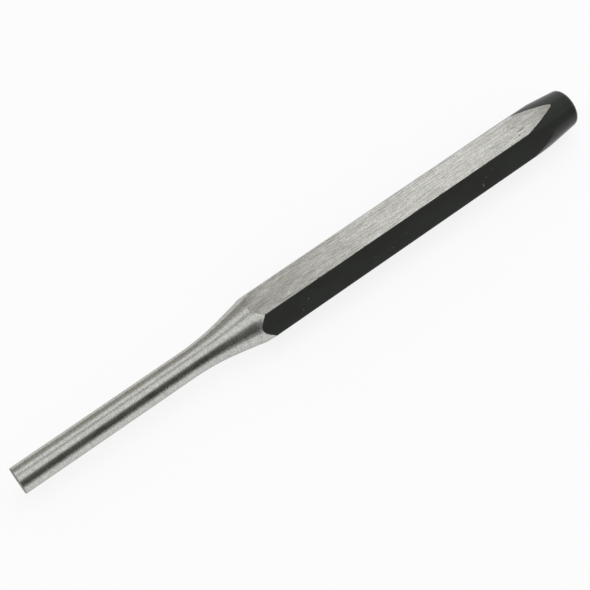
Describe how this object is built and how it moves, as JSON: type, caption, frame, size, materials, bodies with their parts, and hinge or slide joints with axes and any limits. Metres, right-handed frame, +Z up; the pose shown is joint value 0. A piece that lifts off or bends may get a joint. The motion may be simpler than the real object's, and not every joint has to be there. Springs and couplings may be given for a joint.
{
  "type": "pin punch",
  "caption": "Steel pin punch: a parallel pin on a turned neck, a black hexagonal shank with a bright ground flat, and a tapered struck head.",
  "frame": {"origin": "on the surface that the punch lies on, under the middle of its length", "axes": "+X along the bar from the pin towards the struck end, +Z up through the ground flat"},
  "size_m": [0.1524, 0.0128, 0.011],
  "materials": {
    "turned_steel": "fine turned, satin, bare",
    "ground_steel": "ground lengthwise, satin, bare",
    "black_steel": "black oxide, satin"
  },
  "bodies": {
    "root": {"pin": "turned_steel", "neck": "turned_steel", "shank": "black_steel", "ground_flat": "ground_steel", "head": "black_steel"}
  },
  "joints": []
}
